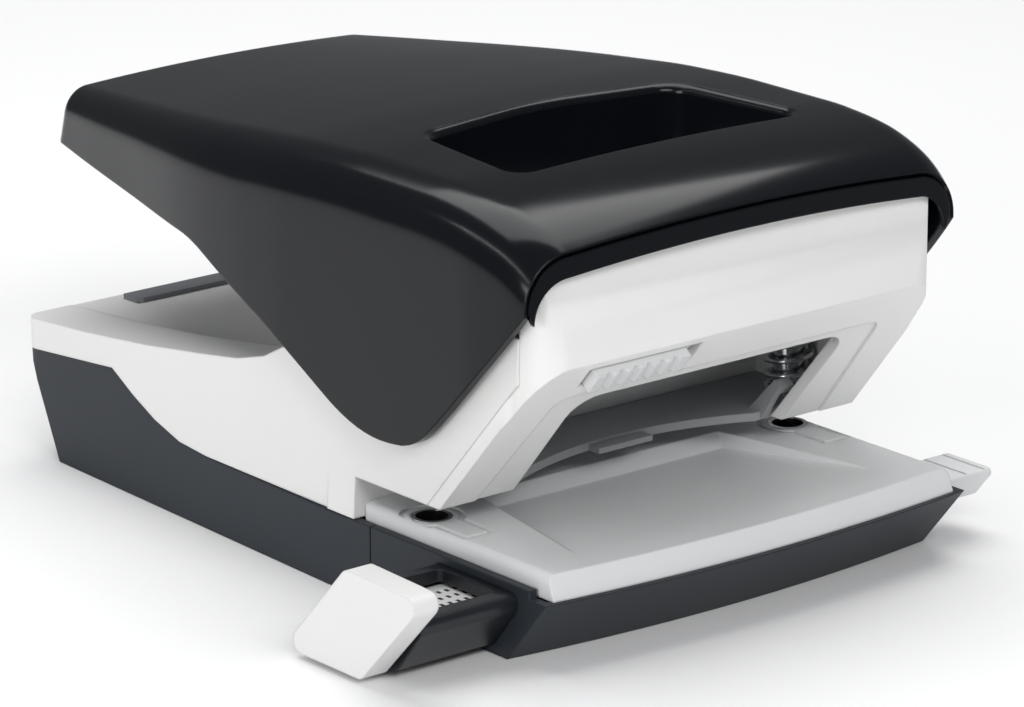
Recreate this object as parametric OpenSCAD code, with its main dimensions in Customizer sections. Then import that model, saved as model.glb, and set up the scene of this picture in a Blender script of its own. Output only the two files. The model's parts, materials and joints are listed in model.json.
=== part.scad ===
// Two-hole desk punch: a black handle over a white body, a paper table, a chip tray
// and a format guide that slides out of the left side.
// X runs along the two holes, -Y is the side where the paper goes in, Z is up.
// The origin is midway between the holes, on the surface that the punch stands on.

/* [Punching] */
// Distance between the two holes, centre to centre
hole_spacing = 80; // [78:0.5:82]
// Diameter of a punched hole
hole_d = 5.5; // [5:0.1:6.5]
// Distance from the hole centres to the wall that stops the paper
paper_depth = 12.8; // [11.5:0.1:15.5]
// Height of the paper slot over the table
slot_h = 4.8; // [4:0.1:6]
// Height of the table top over the desk
table_h = 16; // [13.5:0.5:22]

/* [Body] */
// Width of the white body at the slot
body_w = 92.4; // [92:0.2:115]
// How far the rear edge is behind the holes
rear_y = 113; // [92:1:137]
// Wall of the white mouldings
wall = 2; // [1.6:0.1:2.4]
// Wall of the black base and of the chip tray
tray_wall = 1.6; // [1.3:0.1:2]
// Thickness of the sheet-metal parts
sheet = 2; // [1.6:0.1:2.4]

/* [Handle] */
// Height of the handle's crown over the table
handle_top = 60.7; // [58:0.1:66]
// Wall of the handle shell
shell_wall = 2; // [1.6:0.1:2.4]
// Gap between the handle's cheeks and the body
cheek_gap = 0.6; // [0.4:0.1:1]
// How far the pivot is in front of the holes
pivot_y = 27; // [26:0.5:28]
// Height of the pivot over the table
pivot_h = 44; // [43:0.5:45]
// Diameter of the pivot axle
axle_d = 4; // [3:0.2:5]

/* [Paper guide] */
// Distance from the table's middle to the guide's stop
guide_out = 67.6; // [62:0.1:80]
// Length of the guide bar that shows on the right
guide_tab = 12; // [8:0.5:14]
// Thickness of the guide's end stop
stop_t = 5; // [3:0.2:6]

/* [Fits] */
// Radial clearance of a punch pin in its guides and die
pin_gap = 0.06; // [0.03:0.01:0.1]
// Radial clearance of the axle in its holes
axle_gap = 0.06; // [0.03:0.01:0.1]
// Clearance between parts that slide on each other
slide_gap = 0.35; // [0.3:0.05:0.5]
// Clearance between parts that are fixed together
seat_gap = 0.05; // [0:0.05:0.1]

/* [Hidden] */
$fn = 96;

// Colours
white = "#f2f2f0";
light_grey = "#c9cbcc";
mid_grey = "#8d9092";
black = "#15171a";
charcoal = "#2b3036";
steel = "#a8acb0";

// Places that several parts share
big = 400;
cut = 1;
pin_x = hole_spacing / 2;
pin_r = hole_d / 2;
body_hw = body_w / 2;
base_hw = body_hw + 0.5;
table_hw = body_hw - 1.6;
cheek_hw = body_hw + cheek_gap + shell_wall;
tail_k = rear_y / 113;
pivot = [-pivot_y, table_h + pivot_h];

// Slanted front face of the white cover: its lower edge, slope and length
face_y = -9.8;
face_tilt = 40.2;
face_len = 37;
// Depth of the cover behind that face, and where the joint with the body turns upright
cover_depth = 3.3;
seam_y = -28;
// Half width lost over each millimetre of height, from the mould's draft
draft = 0.055;

// Black base: how far its rim is under the table, and the foot of its front wall
rim_drop = 2.7;
lip_drop = 4.2;
front_corner_y = -35.6;
front_bulge = 2.6;
base_split_y = 8;
front_tilt = 40;
tray_front_y = -6.8;
tray_gap = 0.35;
hinge_r = 1.5;
hinge_z = 1.9;

// Recess of the table
recess_hw = 27;
recess_front_hw = 34;
recess_d = 3;
recess_front_y = -30;
recess_rear_y = 3.2;

// Guide, slot by slot
sleeve_front_y = -30.4;
sleeve_rear_y = -9;
sleeve_top = table_h - lip_drop - seat_gap;
sleeve_floor = 1.6;
sleeve_wall = 1.6;
bar_h = 4.6;
bar_z = sleeve_top - sleeve_wall - 1.2 - bar_h;

// Punch pins, their springs and their guides
pin_tip = 4.8;
pin_top = 30;
pin_head_r = 3.2;
pin_head_t = 1.5;
washer_z = 19;
washer_t = 1;
spring_r = 4.5;
spring_wire = 1.1;
spring_turns = 5;
strip_z = slot_h - 0.4;
strip_t = 1.5;
arm_z = 21;
nose_r = 3;
nose_gap = 0.1;
nose_z = pin_top + nose_gap + nose_r;
ear_x = 34;
lever_x = 37.2;
lever_t = 2.8;
lever_eye = 3.6;
die_z = -8;
die_r = 3.5;

// ---------------------------------------------------------------- helpers

// Height over the desk of a point that is h over the table
function up(h) = table_h + h;

// A point behind the holes that moves with the rear edge
function aft(y) = y * tail_k;

function unit(v) = v / norm(v);

// Points of a circular arc
function arc(c, r, a0, a1, n) = [for (i = [0:n])
    c + r * [cos(a0 + (a1 - a0) * i / n), sin(a0 + (a1 - a0) * i / n)]];

// Shortest turn from angle a to angle b
function turn(a, b) = (((b - a) % 360) + 540) % 360 - 180;

// Outline through corners [x, y, r], each rounded with its own radius r
function corner(a, b, c, r, n) =
    let (
        u = unit([a[0] - b[0], a[1] - b[1]]),
        v = unit([c[0] - b[0], c[1] - b[1]]),
        half = acos(max(-1, min(1, u * v))) / 2,
        p = [b[0], b[1]]
    )
    r <= 0 ? [p] :
    let (
        mid = p + unit(u + v) * r / sin(half),
        p0 = p + u * r / tan(half) - mid,
        p1 = p + v * r / tan(half) - mid,
        a0 = atan2(p0[1], p0[0]),
        a1 = atan2(p1[1], p1[0])
    )
    arc(mid, r, a0, a0 + turn(a0, a1), n);

function rounded(pts, n = 5) =
    let (last = len(pts) - 1)
    [for (i = [0:last])
        let (a = pts[i == 0 ? last : i - 1], b = pts[i], c = pts[i == last ? 0 : i + 1])
        each corner(a, b, c, b[2], n)];

// Value at x on a straight-line graph through [x, value] points
function graph(pts, x, i = 0) =
    x <= pts[0][0] ? pts[0][1] :
    i == len(pts) - 1 ? pts[i][1] :
    x <= pts[i + 1][0] ?
        let (t = (x - pts[i][0]) / (pts[i + 1][0] - pts[i][0]))
        pts[i][1] + (pts[i + 1][1] - pts[i][1]) * t :
    graph(pts, x, i + 1);

// Plate with a side outline [y, z], from x0 to x1
module side_plate(pts, x0, x1) {
    translate([x0, 0, 0]) rotate([90, 0, 90]) linear_extrude(x1 - x0) polygon(pts);
}

// Plate with a front outline [x, z], from y0 to y1
module front_plate(pts, y0, y1) {
    translate([0, y1, 0]) rotate([90, 0, 0]) linear_extrude(y1 - y0) polygon(pts);
}

// Plate with a plan outline [x, y], from z0 to z1
module plan_plate(pts, z0, z1) {
    translate([0, 0, z0]) linear_extrude(z1 - z0) polygon(pts);
}

// Box between two corners
module block(a, b) {
    translate(a) cube(b - a);
}

// Rod along X
module rod_x(r, x0, x1, y, z) {
    translate([x0, y, z]) rotate([0, 90, 0]) cylinder(r = r, h = x1 - x0);
}

// Upright rod
module rod_z(r, z0, z1, x, y) {
    translate([x, y, z0]) cylinder(r = r, h = z1 - z0);
}

// The same thing on the left and on the right
module both() {
    children();
    mirror([1, 0, 0]) children();
}

// Frame on the slanted face: Z runs up the face, Y goes into the cover
module on_face() {
    translate([0, face_y, up(slot_h)]) rotate([face_tilt, 0, 0]) children();
}

// The same frame's point [Y, Z] as a point of a side outline
function on_slope(y, z) = [face_y + y * cos(face_tilt) - z * sin(face_tilt),
    up(slot_h) + y * sin(face_tilt) + z * cos(face_tilt)];

// Upright or leaning front with a gentle bulge: all that lies behind it.
// y is its middle at height z, and tilt leans its foot back.
module behind_front(y, z, tilt, bulge, hw) {
    r = (hw * hw + bulge * bulge) / (2 * bulge);
    translate([0, y, z]) rotate([tilt, 0, 0]) translate([0, r, -big / 2])
        cylinder(r = r, h = big, $fn = 720);
}

// ---------------------------------------------------------------- white body

// Space that the white mouldings fill, shrunk by d on both sides and at the rear
module body_space(d) {
    hw = body_hw - d;
    rear_hw = body_hw - 1.6 - d;
    edge = rear_y - d;
    top = up(80);
    foot = -20;
    low_hw = hw + draft * (up(slot_h) - foot);
    high_hw = hw - draft * (top - up(slot_h));
    intersection() {
        plan_plate(rounded([
            [-hw - 3, aft(20), 0], [-hw - 3, -22, 0], [-hw + 2, -37, 0], [hw - 2, -37, 0],
            [hw + 3, -22, 0], [hw + 3, aft(20), 0], [hw, aft(20.1), 0],
            [rear_hw, edge, 4], [-rear_hw, edge, 4], [-hw, aft(20.1), 0]]), foot, top);
        front_plate([[-low_hw, foot], [low_hw, foot], [high_hw, top], [-high_hw, top]],
            -big / 4, big / 2);
    }
}

// Height of the body's lower edge over the table, which the tray's rim follows
rim_graph = [[0, -rim_drop + 0.1], [aft(56), -rim_drop + 0.1], [aft(64), -2], [aft(71.5), 0.2],
    [aft(78), 3.1], [aft(84.5), 6.6], [rear_y + 3, 3.6]];

// Top of the side border of the rear deck
border_graph = [[aft(31.3), 23.8], [aft(39), 19.6], [aft(46.7), 17.4], [aft(60), 15.4],
    [aft(73.7), 13.4], [aft(92.5), 11.3], [rear_y - 4, 10], [rear_y, 9.6]];

// Deck between the borders: shelf, slope and floor
deck_graph = [[aft(36), 7.2], [aft(80), 7.2], [aft(94.5), 10], [rear_y + 2, 9.4]];

hump_top = 38;

function line_of(g) = [for (p = g) [p[0], up(p[1])]];
function backwards(pts) = [for (i = [len(pts) - 1:-1:0]) pts[i]];

// The joint between the cover and the body, from the slot upwards
function seam(gap) = [[face_y + cover_depth + gap, up(slot_h)],
    [seam_y + gap, up(slot_h) + (face_y + cover_depth - seam_y) / tan(face_tilt)]];

module body_outer() {
    intersection() {
        body_space(0);
        side_plate(concat(
            [for (p = line_of(rim_graph)) [max(p[0], paper_depth), p[1]]],
            backwards(line_of(border_graph)),
            [[aft(24), up(hump_top)], [seam_y + seat_gap, up(hump_top)]],
            backwards(seam(seat_gap)),
            [[paper_depth, up(slot_h)]]), -big, big);
    }
}

module body_hollow() {
    intersection() {
        body_space(wall);
        side_plate(concat(
            [[paper_depth + wall, up(-10)], [rear_y + 5, up(-10)],
            [rear_y + 5, up(deck_graph[3][1] - wall)]],
            [for (i = [2:-1:0]) [deck_graph[i][0], up(deck_graph[i][1] - wall)]],
            [[aft(33) - wall, up(19)], [aft(24) - wall, up(hump_top - wall)],
            [seam_y - 5, up(hump_top - wall)], [seam_y - 5, up(30)],
            [face_y, up(slot_h - 2)], [paper_depth, up(slot_h - 2)],
            [paper_depth, up(arm_z - 3)], [paper_depth + wall, up(arm_z - 3)]]), -big, big);
    }
}

module body_shell() {
    deck_hw = body_hw - 10;
    deck_rear_hw = body_hw - 12.5;
    slot_in = lever_x - 1.2;
    color(white)
    difference() {
        union() {
            difference() {
                body_outer();
                body_hollow();
            }
            // Lugs that the cover is screwed to
            for (x = cover_screw_x) block([x - 4, seam_y + seat_gap, up(slot_h + 24.2)],
                [x + 4, seam_y + seat_gap + lug_t, up(hump_top - 1)]);
        }
        for (x = cover_screw_x) translate([x, seam_y - cut, up(cover_screw_h)])
            rotate([-90, 0, 0]) cylinder(r = 1.4, h = lug_t + 3);
        // Deck sunk between its two borders
        intersection() {
            side_plate(concat(
                [for (p = line_of(deck_graph)) p],
                [[rear_y + 2, up(40)], [aft(36), up(40)]]), -big, big);
            plan_plate([[-deck_hw, 0], [deck_hw, 0], [deck_rear_hw, rear_y + 5],
                [-deck_rear_hw, rear_y + 5]], 0, up(40));
        }
        // Seat of the rubber pad
        block([-pad_hw - seat_gap, pad_y0 - seat_gap, up(deck_graph[3][1] - 0.8)],
            [pad_hw + seat_gap, pad_y1 + seat_gap, up(20)]);
        // Ways for the lever's two arms and for the frame's two ears
        both() block([slot_in, seam_y - cut, up(hump_top - 8)],
            [body_hw - wall - 1.4, aft(18), up(hump_top + 2)]);
        both() block([ear_x - 0.6, seam_y - cut, up(hump_top - 8)],
            [ear_x + sheet + 0.6, aft(18), up(hump_top + 2)]);
        // Pockets for the springs and the pins' heads in the side walls
        both() rod_z(spring_r + 0.5, up(slot_h - 1), up(arm_z - 1), pin_x, 0);
        both() rod_z(pin_head_r + 0.5, up(arm_z - 2), up(pin_top + 1), pin_x, 0);
        // Screw holes in the rear wall of the slot
        for (x = [-20, 20]) translate([x, paper_depth - cut, up(14)]) rotate([-90, 0, 0])
            cylinder(r = 1.5, h = wall + 2 * cut);
    }
}

pad_hw = 24;
pad_y0 = rear_y - 7.4;
pad_y1 = rear_y - 2.6;

module bumper_pad() {
    color(mid_grey)
    difference() {
        block([-pad_hw, pad_y0, up(deck_graph[3][1] - 0.8)],
            [pad_hw, pad_y1, up(deck_graph[3][1] + 1.1)]);
        for (s = [-1, 1]) translate([s * pad_hw, pad_y0, 0]) rotate([0, 0, 45])
            cube([1.6, 1.6, big], center = true);
    }
}

// ---------------------------------------------------------------- front cover

// Height of the nose's top over the table, highest in the middle
nose_side_h = 48;
nose_mid_h = 51.4;

// Front of the nose from its top down to the point [y, h over the table] where the face starts
function nose_line(y, h) = [for (p = [[2.2, 30], [2, 14], [1.5, 11.6], [1, 10], [0.5, 8],
    [0.1, 5.5], [-0.1, 3], [0, 0]]) [y + p[0], up(h + p[1])]];

module front_cover() {
    top_hw = body_hw - 2;
    crown_r = (top_hw * top_hw + pow(nose_mid_h - nose_side_h, 2))
        / (2 * (nose_mid_h - nose_side_h));
    nose_y = face_y - face_len * sin(face_tilt);
    nose_z = slot_h + face_len * cos(face_tilt);
    corner_r = 7.2;
    corner_hw = body_hw - draft * (nose_z + 3 - slot_h);
    open_hw = 30;
    open_h = 25.4;
    leg_wall = 1.5;
    color(white)
    difference() {
        union() {
            difference() {
                intersection() {
                    body_space(0);
                    side_plate(concat([[face_y, up(slot_h)]], seam(0), [[seam_y, up(60)]],
                        nose_line(nose_y, nose_z)), -big, big);
                    // Rounded corners of the nose
                    plan_plate(rounded([[-corner_hw, nose_y - 0.2, corner_r],
                        [corner_hw, nose_y - 0.2, corner_r], [corner_hw, nose_y + corner_r, 3],
                        [corner_hw + 10, 0, 0], [-corner_hw - 10, 0, 0],
                        [-corner_hw, nose_y + corner_r, 3]]), 0, up(60));
                    rotate([90, 0, 0]) translate([0, up(nose_mid_h) - crown_r, -big / 2])
                        cylinder(r = crown_r, h = big, $fn = 720);
                }
                intersection() {
                    body_space(wall);
                    translate([0, wall / cos(face_tilt), 0])
                    side_plate(concat([[face_y, up(slot_h)],
                        [face_y + 8, up(slot_h)], [seam_y + 6, up(nose_z)],
                        [seam_y + 6, up(60)]], nose_line(nose_y - 0.6, nose_z)), -big, big);
                    plan_plate(rounded([[wall - corner_hw, nose_y + wall, corner_r - wall],
                        [corner_hw - wall, nose_y + wall, corner_r - wall],
                        [corner_hw - wall, nose_y + corner_r, 1], [corner_hw + 10, 0, 0],
                        [-corner_hw - 10, 0, 0], [wall - corner_hw, nose_y + corner_r, 1]]),
                        0, up(60));
                    translate([0, 0, -wall]) rotate([90, 0, 0])
                        translate([0, up(nose_mid_h) - crown_r, -big / 2])
                        cylinder(r = crown_r, h = big, $fn = 720);
                }
            }
            // Inner walls beside the opening, and the feet of the two legs
            intersection() {
                side_plate(concat([[face_y, up(slot_h)]], seam(0),
                    [[nose_y + 5, up(nose_z)], [nose_y, up(nose_z)]]), -big, big);
                both() on_face() block([open_hw, 0, -6], [open_hw + leg_wall, 9, open_h + 3]);
            }
            // Screw bosses behind the nose
            difference() {
                for (x = cover_screw_x) translate([x, seam_y - 4.6, up(cover_screw_h)])
                    rotate([-90, 0, 0]) cylinder(r = 2.8, h = 4.6);
                on_face() block([-big, -10, 0], [big, wall / 2, 60]);
            }
        }
        // Opening between the legs
        on_face() rotate([90, 0, 0]) translate([0, 0, -12]) linear_extrude(20)
            polygon(rounded([[-open_hw, -12, 0], [open_hw, -12, 0],
            [open_hw, open_h, 5], [-open_hw, open_h, 5]]));
        // Slot of the lock's slide
        on_face() block([lock_x0 - 0.9, -2, lock_z0 - slide_gap],
            [lock_x1 + lock_travel + 0.4, 6, lock_z1 + slide_gap]);
        // Sunken panel round the opening
        on_face() rotate([90, 0, 0]) translate([0, 0, -0.4]) linear_extrude(5)
            polygon(rounded([[-body_hw + 6.4, -12, 0], [body_hw - 6.4, -12, 0],
            [body_hw - 10.4, open_h + 2.4, 3], [-body_hw + 10.4, open_h + 2.4, 3]]));
        // Hooks of the stripper reach through the inner walls
        both() on_face() block([open_hw - 2, hook_y0 - 0.3, hook_z0 - 0.4],
            [open_hw + 4, hook_y1 + 0.3, hook_z1 + 0.4]);
        // Screw holes of the two bosses
        for (x = cover_screw_x) translate([x, seam_y - screw_in - 0.4, up(cover_screw_h)])
            rotate([-90, 0, 0]) cylinder(r = 1.15, h = 6);
        // Ways for the lever's two arms and for the frame's two ears
        both() block([ear_x - 0.6, pivot[0] - lever_eye - 0.4, pivot[1] - lever_eye],
            [lever_x + lever_t + 1.6, seam_y + cut, up(60)]);
    }
}

cover_screw_x = [0, 27];
cover_screw_h = 33;
screw_in = 2.4;
lug_t = 2.2;

module cover_screws() {
    color(steel)
    for (x = cover_screw_x) translate([x, 0, up(cover_screw_h)]) {
        translate([0, seam_y - screw_in, 0]) rotate([-90, 0, 0])
            cylinder(r = 1.1, h = screw_in + lug_t + 1);
        translate([0, seam_y + lug_t + 2 * seat_gap, 0]) rotate([-90, 0, 0])
        difference() {
            cylinder(r = 2.6, h = 1.8);
            translate([0, 0, 1]) linear_extrude(2) square([3.2, 0.7], center = true);
            translate([0, 0, 1]) linear_extrude(2) square([0.7, 3.2], center = true);
        }
    }
}

// ---------------------------------------------------------------- lock

lock_x0 = -32.4;
lock_x1 = -12.4;
lock_z0 = 31;
lock_z1 = 35;
lock_travel = 3;

module lock_slider() {
    ribs = 7;
    pitch = (lock_x1 - lock_x0) / ribs;
    color(light_grey)
    on_face() {
        // Ribbed thumb piece, with grooves between its ribs
        difference() {
            block([lock_x0, -1.8, lock_z0], [lock_x1, wall + slide_gap, lock_z1]);
            for (i = [1:ribs - 1]) rod_z(1, lock_z0 - cut, lock_z1 + cut,
                lock_x0 + i * pitch, -2.1);
        }
        // Carrier that runs behind the cover's wall
        block([lock_x0 - 3, wall + slide_gap, lock_z0 - 2],
            [lock_x1 + 2, wall + slide_gap + 1.4, lock_z1 + 1.2]);
    }
}

module lock_bolt() {
    color(steel)
    on_face() {
        block([lock_x0 + 1, wall + slide_gap + 1.4, lock_z0 + 1],
            [lock_x1 + 4, wall + slide_gap + 2.6, lock_z1 - 1]);
    }
}

// ---------------------------------------------------------------- table and dies

// Outline of the table in plan, a little narrower than the body
module table_plan(d, z0, z1) {
    plan_plate(rounded([
        [-table_hw + d, -60, 0], [table_hw - d, -60, 0],
        [table_hw - d, paper_depth - seat_gap - d, 1],
        [-table_hw + d, paper_depth - seat_gap - d, 1]]), z0, z1);
}

module table_top() {
    skin = 1.5;
    lip_tilt = -24;
    mid_y = front_corner_y - front_bulge;
    color(light_grey)
    difference() {
        intersection() {
            table_plan(0, up(-lip_drop), up(0));
            behind_front(mid_y, up(0), lip_tilt, front_bulge, table_hw);
            // Rounded long edges
            front_plate(rounded([[-table_hw, up(-lip_drop), 0], [table_hw, up(-lip_drop), 0],
                [table_hw, up(0), 1.8], [-table_hw, up(0), 1.8]]), -60, 20);
        }
        // Hollow under the skin, open below
        intersection() {
            table_plan(1.6, up(-lip_drop - 1), up(0));
            behind_front(mid_y + 2.4, up(0), lip_tilt, front_bulge, table_hw);
            side_plate([[-60, up(-9)], [20, up(-9)], [20, up(-recess_d - skin)],
                [paper_depth, up(-recess_d - skin)], [recess_front_y, up(-2)],
                [-60, up(-2)]], -recess_hw, recess_hw);
        }
        both() block([recess_front_hw - 2, -32, up(-9)],
            [table_hw - 1.6, paper_depth + cut, up(-2.2)]);
        // Recess that runs out towards the front
        intersection() {
            side_plate([[recess_front_y, up(0)], [recess_rear_y, up(-recess_d)],
                [recess_rear_y + 1.2, up(cut)], [recess_front_y, up(cut)]], -big, big);
            plan_plate([[-recess_front_hw, recess_front_y], [recess_front_hw, recess_front_y],
                [recess_hw, recess_rear_y + 2], [-recess_hw, recess_rear_y + 2]], 0, up(3));
        }
        // Seats of the dies, with the two guide lines that lead to each
        both() rod_z(die_r + seat_gap, up(-9), up(2), pin_x, 0);
        both() translate([pin_x, 0, up(-0.35)])
        difference() {
            union() {
                cylinder(r = 5.6, h = 2);
                translate([-3.2, -13, 0]) cube([6.4, 13, 2]);
            }
            translate([0, 0, -cut]) cylinder(r = 4.6, h = 4);
            translate([-2.2, -12, -cut]) cube([4.4, 12, 4]);
        }
    }
}

module die_bush(side) {
    color(steel)
    difference() {
        union() {
            rod_z(die_r, up(die_z - sheet), up(0), side * pin_x, 0);
            rod_z(die_r + 1, up(die_z), up(die_z + 1), side * pin_x, 0);
        }
        rod_z(pin_r + pin_gap, up(die_z - sheet - cut), up(cut), side * pin_x, 0);
    }
}

module die_bush_left() {
    die_bush(-1);
}

module die_bush_right() {
    die_bush(1);
}

module die_plate() {
    hw = body_hw - wall - 1.6;
    color(steel)
    difference() {
        block([-hw, -7.6, up(die_z - sheet)], [hw, paper_depth + wall + seat_gap, up(die_z)]);
        both() rod_z(die_r + seat_gap, up(-20), up(0), pin_x, 0);
        for (x = rivet_x) rod_z(rivet_r + seat_gap, up(-20), up(0), x, rivet_y);
    }
}

rivet_x = [-24, -8, 8, 24];
rivet_y = 9.6;
rivet_r = 1.6;

module frame_rivets() {
    color(steel)
    for (x = rivet_x) {
        rod_z(rivet_r, up(die_z - sheet - 0.8), up(die_z + sheet + 0.8), x, rivet_y);
        rod_z(2.6, up(die_z + sheet), up(die_z + sheet + 0.8), x, rivet_y);
        rod_z(2.6, up(die_z - sheet - 0.8), up(die_z - sheet), x, rivet_y);
    }
}

// ---------------------------------------------------------------- black base

// Outside of the black base and tray, shrunk by d all round
module base_space(d, z0, z1) {
    hw = base_hw - d;
    rear_hw = body_hw - 2.8 - d;
    edge = rear_y + 2.2 - d;
    mid_y = front_corner_y - front_bulge - 3;
    intersection() {
        plan_plate(rounded([[-hw, -60, 0], [hw, -60, 0], [hw, aft(20), 0],
            [rear_hw, edge, 5 - d], [-rear_hw, edge, 5 - d], [-hw, aft(20), 0]]), z0, z1);
        behind_front(mid_y + d / cos(front_tilt), up(-lip_drop), front_tilt, front_bulge, base_hw);
        // Rear wall leans in towards its foot
        side_plate([[-70, -20], [rear_y - 13.5 - d, -20], [rear_y - 9.5 - d, 0],
            [rear_y + 1.4 - d, up(6)], [rear_y + 1.4 - d, up(20)], [-70, up(20)]], -big, big);
    }
}

module front_base() {
    rim = up(-rim_drop);
    color(charcoal)
    difference() {
        intersection() {
            base_space(0, 0, rim);
            block([-big, -60, -cut], [big, base_split_y, rim + cut]);
            // The front wall stays under the table's lip
            union() {
                block([-big, -60, -cut], [big, big, up(-lip_drop - seat_gap)]);
                block([-big, -33.5, -cut], [big, big, rim + cut]);
            }
        }
        // Inside, above the floor of the front part
        intersection() {
            base_space(tray_wall, tray_wall, up(2));
            block([-big, -60, tray_wall], [big, -8.6, up(2)]);
        }
        // Room for the tongue of the tray, open below
        block([-base_hw + tray_wall, tray_front_y - 0.6, -cut],
            [base_hw - tray_wall, base_split_y + cut, up(2)]);
        // The rib behind the guide stays under the table and the die plate
        block([-base_hw + tray_wall, -9, up(die_z - sheet - seat_gap)],
            [base_hw - tray_wall, tray_front_y, up(2)]);
        // Seat of the table
        table_plan(-seat_gap, up(-lip_drop - seat_gap), up(2));
        // Mouths of the guide's sleeve and bar
        side_plate(sleeve_outline(seat_gap), -base_hw - cut, -base_hw + 4);
        side_plate(guide_tab_outline(0.5), base_hw - 4, base_hw + cut);
        // Sockets of the tray's hinge
        both() rod_x(hinge_r + axle_gap, base_hw - tray_wall - cut, base_hw - 0.4,
            tray_front_y + hinge_r + 0.2, hinge_z);
    }
}

module chip_tray() {
    tongue_hw = base_hw - tray_wall - 0.4;
    rim_line = [for (p = rim_graph) [max(p[0], base_split_y + tray_gap), up(p[1] - 0.15)]];
    color(charcoal) {
        difference() {
            intersection() {
                base_space(0, 0, up(20));
                side_plate(concat(rim_line, [[rear_y + 6, 0], [base_split_y + tray_gap, 0]]),
                    -big, big);
            }
            intersection() {
                base_space(tray_wall, tray_wall, up(20));
                block([-big, base_split_y + tray_gap - cut, tray_wall], [big, big, big]);
            }
        }
        // Tongue that catches the chips under the dies, with a low rim
        difference() {
            side_plate(rounded([[tray_front_y, 0, 1.6], [base_split_y + 2, 0, 0],
                [base_split_y + 2, 4, 0], [tray_front_y, 4, 1]]), -tongue_hw, tongue_hw);
            block([-tongue_hw + 1.4, tray_front_y + 1.4, tray_wall],
                [tongue_hw - 1.4, base_split_y + 3, 5]);
        }
        // Stub axles of the hinge
        both() rod_x(hinge_r, tongue_hw - 1, base_hw - 0.6, tray_front_y + hinge_r + 0.2, hinge_z);
    }
}

// ---------------------------------------------------------------- paper guide

// Side outline of the guide bar, with the same slanted front as the base
function guide_bar_outline() = [
    [sleeve_front_y + 3.4, bar_z + bar_h], [sleeve_front_y + 3.4 + bar_h * 0.84, bar_z],
    [sleeve_rear_y - 3, bar_z], [sleeve_rear_y - 3, bar_z + bar_h]];

// Side outline of the bar's right end, or of the hole round it
function guide_tab_outline(gap) = rounded([
    [-33 - 1.4 * gap, up(-4.2) + gap, 0.8], [-28.2 - 1.4 * gap, up(-9.9) - gap, 0.8],
    [-20.5 + gap, up(-9.9) - gap, 0.8], [-20.5 + gap, up(-4.2) + gap, 0.8]], 3);

// Side outline of the sleeve, or of the mouth that holds it
function sleeve_outline(gap) =
    let (knee = sleeve_top - 2.6, slant = 0.8 * (knee - sleeve_floor))
    rounded([[sleeve_front_y - gap, sleeve_top + gap, 1.4], [sleeve_front_y - gap, knee, 1],
        [sleeve_front_y + slant - gap, sleeve_floor - gap, 1],
        [sleeve_rear_y + gap, sleeve_floor - gap, 1],
        [sleeve_rear_y + gap, sleeve_top + gap, 1.4]], 3);

module guide_sleeve() {
    end = guide_out - 1;
    in = 10;
    color(black)
    difference() {
        side_plate(sleeve_outline(0), -end, -base_hw + in);
        // Channel of the bar
        side_plate([[sleeve_front_y + 3.4 - slide_gap * 1.4, bar_z + bar_h + 0.6],
            [sleeve_front_y + 3.4 + bar_h * 0.84 - slide_gap * 1.4, bar_z - slide_gap],
            [sleeve_rear_y - 3 + slide_gap, bar_z - slide_gap],
            [sleeve_rear_y - 3 + slide_gap, bar_z + bar_h + 0.6]], -end - cut, cut);
        // Window over the scale
        plan_plate(rounded([[-end + 3.4, sleeve_front_y + 3.6, 1],
            [-base_hw - 1.4, sleeve_front_y + 3.6, 1],
            [-base_hw - 1.4, sleeve_rear_y - 3.4, 1],
            [-end + 3.4, sleeve_rear_y - 3.4, 1]]), bar_z + bar_h - cut, up(2));
        // Hollow of the part inside the base, over the detent spring
        block([-base_hw + 3, sleeve_front_y + 5, bar_z + bar_h], [big, sleeve_rear_y - 4, up(2)]);
    }
}

module guide_detent_spring() {
    x0 = -base_hw + 4;
    y = (sleeve_front_y + sleeve_rear_y) / 2 - 2;
    z = bar_z + bar_h + 0.75;
    color(steel)
    translate([0, y, 0]) rotate([90, 0, 0]) linear_extrude(5, center = true)
        polygon([[x0, z], [x0 + 2.6, z - 0.35], [x0 + 3.6, z], [x0 + 6.2, z],
        [x0 + 6.2, z + 0.4], [x0, z + 0.4]]);
}

module guide_bar() {
    right = base_hw + guide_tab;
    tab_in = 2;
    color(light_grey)
    difference() {
        union() {
            side_plate(guide_bar_outline(), -guide_out - 1, base_hw - tab_in + 0.2);
            side_plate(guide_tab_outline(0), base_hw - tab_in, right);
        }
        // Bed of the printed scale
        block([-guide_out + 2, sleeve_front_y + 5, bar_z + bar_h - 0.3],
            [guide_tab, sleeve_rear_y - 5, up(2)]);
        // Notch for the detent spring and lines along the end
        block([-base_hw + 5.8, sleeve_front_y + 3, bar_z + bar_h - 0.35],
            [-base_hw + 7.4, sleeve_rear_y - 2, up(2)]);
        for (x = [right - 1.6, right - 6]) block([x, -40, up(-4.4)], [x + 0.5, -10, up(0)]);
    }
}

module format_scale() {
    color("white")
    block([-guide_out + 2.1, sleeve_front_y + 5.1, bar_z + bar_h - 0.3],
        [-base_hw + 5.7, sleeve_rear_y - 5.1, bar_z + bar_h - 0.05]);
}

module guide_stop() {
    foot = 0.9;
    head = up(2.2);
    back = 0.87 * (head - foot);
    color(white)
    difference() {
        side_plate(rounded([[-38.8, head, 2], [-37.4 + back, foot, 2],
            [-16.8 + back, foot, 2], [-18.4, head + 0.6, 2.6]]),
            -guide_out - stop_t, -guide_out);
        // Socket of the bar's end
        side_plate(guide_bar_outline(), -guide_out - 1.001, -guide_out + cut);
    }
}

// ---------------------------------------------------------------- steel works

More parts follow.
